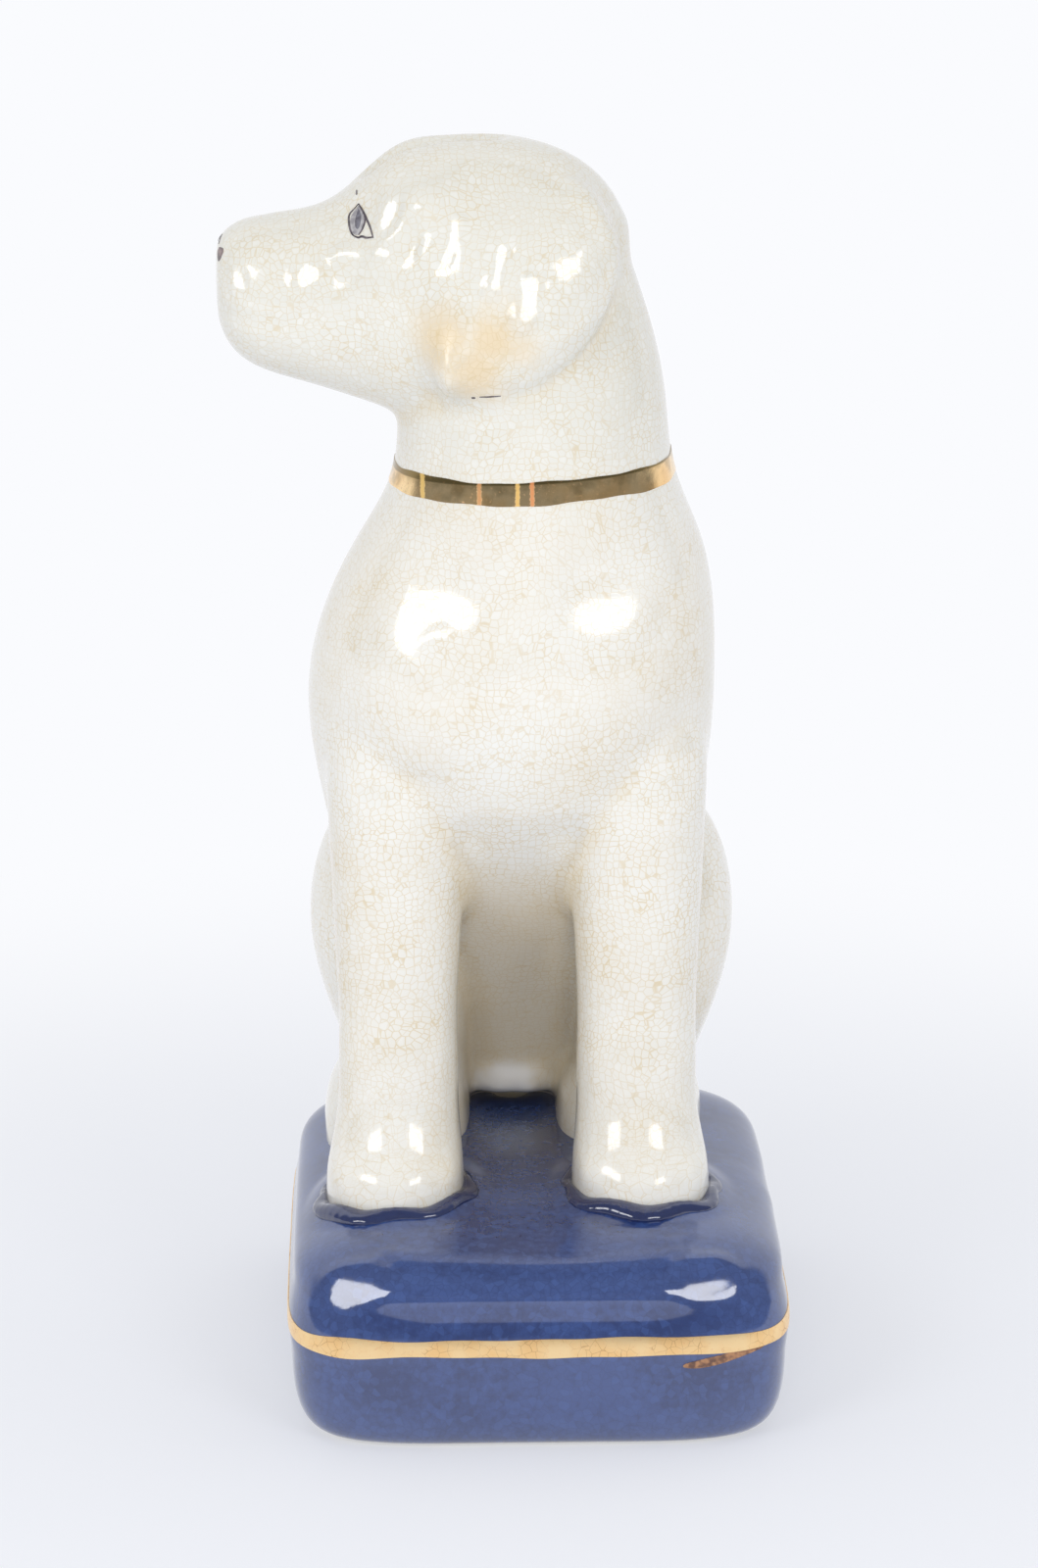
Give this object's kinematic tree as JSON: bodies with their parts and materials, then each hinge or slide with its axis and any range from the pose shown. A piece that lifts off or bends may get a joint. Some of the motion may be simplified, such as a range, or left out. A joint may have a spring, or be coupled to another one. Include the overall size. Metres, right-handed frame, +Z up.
{
  "type": "seated dog ornament",
  "caption": "Glazed pottery figure of a seated dog with its head turned aside, on a cushion-shaped base with gilded bands; it stands on the flat foot of the base.",
  "frame": {"origin": "middle of the flat face that the ornament stands on", "axes": "+Z up; the dog's body and the front of the cushion face -Y; the muzzle points to -X"},
  "size_m": [0.0942, 0.1, 0.2096],
  "materials": {
    "cream_glaze": "gloss",
    "cobalt_glaze": "gloss",
    "bare_clay": "matte",
    "gilding": "polished",
    "dark_enamel": "gloss"
  },
  "bodies": {
    "root": {"base_slab": "bare_clay", "collar": "gilding", "cushion": "cobalt_glaze", "cushion_line": "gilding", "ear_left": "cream_glaze", "ear_right": "cream_glaze", "eye_left": "dark_enamel", "eye_right": "dark_enamel", "foreleg_left": "cream_glaze", "foreleg_right": "cream_glaze", "glaze_rim_left": "cobalt_glaze", "glaze_rim_right": "cobalt_glaze", "haunch_left": "cream_glaze", "haunch_right": "cream_glaze", "head": "cream_glaze", "hind_paw_left": "cream_glaze", "hind_paw_right": "cream_glaze", "nose": "dark_enamel", "tail": "cream_glaze", "trunk": "cream_glaze"}
  },
  "joints": []
}
